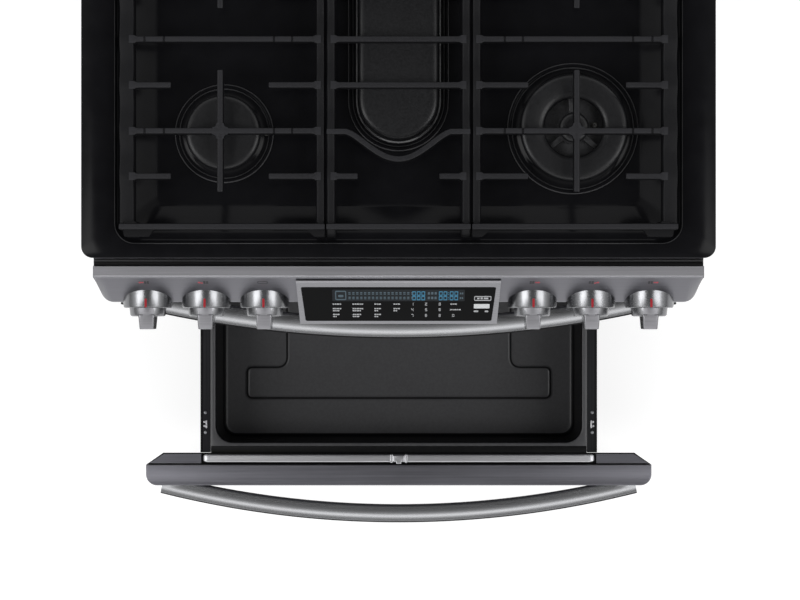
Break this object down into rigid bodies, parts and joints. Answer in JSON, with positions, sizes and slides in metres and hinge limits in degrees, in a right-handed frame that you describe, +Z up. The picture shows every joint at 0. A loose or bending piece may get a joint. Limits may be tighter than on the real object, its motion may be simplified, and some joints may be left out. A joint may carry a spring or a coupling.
{
  "type": "freestanding gas range",
  "caption": "Gas range with a recessed black cooktop, cast grates, a slanted front panel with knobs, a bowed-handle oven door and an open storage drawer.",
  "frame": {"origin": "on the floor, under the middle of the whole object's box with the drawer open", "axes": "+X to the cook's right, +Y to the rear, +Z up"},
  "size_m": [0.76, 0.9948, 0.945],
  "materials": {
    "stainless": "dark brushed, satin",
    "bright_steel": "brushed, bright",
    "black_enamel": "glossy fired enamel",
    "cast_iron": "matt cast",
    "burner_metal": "cast, satin",
    "black_glass": "polished dark glass",
    "window_glass": "tinted",
    "painted_steel": "satin dark grey paint",
    "zinc_steel": "galvanised",
    "oven_enamel": "speckled enamel",
    "insulation": "glass wool",
    "gasket": "woven fibre",
    "chrome": "bright wire",
    "foot_plastic": "moulded"
  },
  "bodies": {
    "body": {"base_frame": "painted_steel", "foot_front_left": "foot_plastic", "foot_front_right": "foot_plastic", "foot_rear_left": "foot_plastic", "foot_rear_right": "foot_plastic", "side_panel_left": "painted_steel", "side_panel_right": "painted_steel", "back_panel": "zinc_steel", "rear_vent_trim": "black_enamel", "cooktop": "black_enamel", "control_panel": "stainless", "display_bezel": "stainless", "display_glass": "black_glass", "gas_manifold": "zinc_steel", "burner_base_front_left": "burner_metal", "burner_base_rear_left": "burner_metal", "burner_base_front_right": "burner_metal", "burner_base_rear_right": "burner_metal", "burner_base_centre": "burner_metal", "burner_cap_front_left": "cast_iron", "burner_cap_rear_left": "cast_iron", "burner_cap_front_right": "cast_iron", "burner_cap_front_right_inner": "cast_iron", "burner_cap_rear_right": "cast_iron", "burner_cap_centre": "cast_iron", "oven_cavity": "oven_enamel", "oven_insulation": "insulation", "bake_burner": "zinc_steel", "broil_burner": "zinc_steel", "oven_rack_lower": "chrome", "oven_rack_upper": "chrome", "door_gasket": "gasket", "cabinet_rail_left": "zinc_steel", "cabinet_rail_right": "zinc_steel"},
    "oven_door": {"door_outer_panel": "stainless", "door_window_glass": "window_glass", "door_inner_panel": "oven_enamel", "door_handle": "bright_steel", "door_hinge_left": "zinc_steel", "door_hinge_right": "zinc_steel"},
    "storage_drawer": {"drawer_front": "stainless", "drawer_pan": "painted_steel", "drawer_handle": "bright_steel", "drawer_rail_left": "zinc_steel", "drawer_rail_right": "zinc_steel"},
    "grate_left": {"grate_left": "cast_iron"},
    "grate_centre": {"grate_centre": "cast_iron"},
    "grate_right": {"grate_right": "cast_iron"},
    "valve_1": {"valve_stem_1": "zinc_steel"},
    "knob_1": {"knob_1": "bright_steel"},
    "valve_2": {"valve_stem_2": "zinc_steel"},
    "knob_2": {"knob_2": "bright_steel"},
    "valve_3": {"valve_stem_3": "zinc_steel"},
    "knob_3": {"knob_3": "bright_steel"},
    "valve_4": {"valve_stem_4": "zinc_steel"},
    "knob_4": {"knob_4": "bright_steel"},
    "valve_5": {"valve_stem_5": "zinc_steel"},
    "knob_5": {"knob_5": "bright_steel"},
    "valve_6": {"valve_stem_6": "zinc_steel"},
    "knob_6": {"knob_6": "bright_steel"}
  },
  "joints": [
    {"name": "oven_door_hinge", "type": "hinge", "parent": "body", "child": "oven_door", "pos_m": [0, -0.13955, 0.292], "axis": [1, 0, 0], "range_deg": [0, 90], "stiffness_Nm_per_rad": 8, "springref_deg": -17.19},
    {"name": "drawer_slide", "type": "slide", "parent": "body", "child": "storage_drawer", "axis": [0, -1, 0], "range_m": [-0.2765, 0]},
    {"name": "grate_left_lift", "type": "slide", "parent": "body", "child": "grate_left", "axis": [0, 0, 1], "range_m": [0, 0.08]},
    {"name": "grate_centre_lift", "type": "slide", "parent": "body", "child": "grate_centre", "axis": [0, 0, 1], "range_m": [0, 0.08]},
    {"name": "grate_right_lift", "type": "slide", "parent": "body", "child": "grate_right", "axis": [0, 0, 1], "range_m": [0, 0.08]},
    {"name": "knob_1_push", "type": "slide", "parent": "body", "child": "valve_1", "axis": [0, 1, 0], "range_m": [0, 0.0035], "stiffness_N_per_m": 900, "springref_m": -0.004},
    {"name": "knob_1_turn", "type": "hinge", "parent": "valve_1", "child": "knob_1", "pos_m": [-0.307, -0.17555, 0.84], "axis": [0, -1, 0], "range_deg": [0, 250]},
    {"name": "knob_2_push", "type": "slide", "parent": "body", "child": "valve_2", "axis": [0, 1, 0], "range_m": [0, 0.0035], "stiffness_N_per_m": 900, "springref_m": -0.004},
    {"name": "knob_2_turn", "type": "hinge", "parent": "valve_2", "child": "knob_2", "pos_m": [-0.2355, -0.17555, 0.84], "axis": [0, -1, 0], "range_deg": [0, 250]},
    {"name": "knob_3_push", "type": "slide", "parent": "body", "child": "valve_3", "axis": [0, 1, 0], "range_m": [0, 0.0035], "stiffness_N_per_m": 900, "springref_m": -0.004},
    {"name": "knob_3_turn", "type": "hinge", "parent": "valve_3", "child": "knob_3", "pos_m": [-0.164, -0.17555, 0.84], "axis": [0, -1, 0], "range_deg": [0, 250]},
    {"name": "knob_4_push", "type": "slide", "parent": "body", "child": "valve_4", "axis": [0, 1, 0], "range_m": [0, 0.0035], "stiffness_N_per_m": 900, "springref_m": -0.004},
    {"name": "knob_4_turn", "type": "hinge", "parent": "valve_4", "child": "knob_4", "pos_m": [0.164, -0.17555, 0.84], "axis": [0, -1, 0], "range_deg": [0, 250]},
    {"name": "knob_5_push", "type": "slide", "parent": "body", "child": "valve_5", "axis": [0, 1, 0], "range_m": [0, 0.0035], "stiffness_N_per_m": 900, "springref_m": -0.004},
    {"name": "knob_5_turn", "type": "hinge", "parent": "valve_5", "child": "knob_5", "pos_m": [0.2355, -0.17555, 0.84], "axis": [0, -1, 0], "range_deg": [0, 250]},
    {"name": "knob_6_push", "type": "slide", "parent": "body", "child": "valve_6", "axis": [0, 1, 0], "range_m": [0, 0.0035], "stiffness_N_per_m": 900, "springref_m": -0.004},
    {"name": "knob_6_turn", "type": "hinge", "parent": "valve_6", "child": "knob_6", "pos_m": [0.307, -0.17555, 0.84], "axis": [0, -1, 0], "range_deg": [0, 250]}
  ]
}
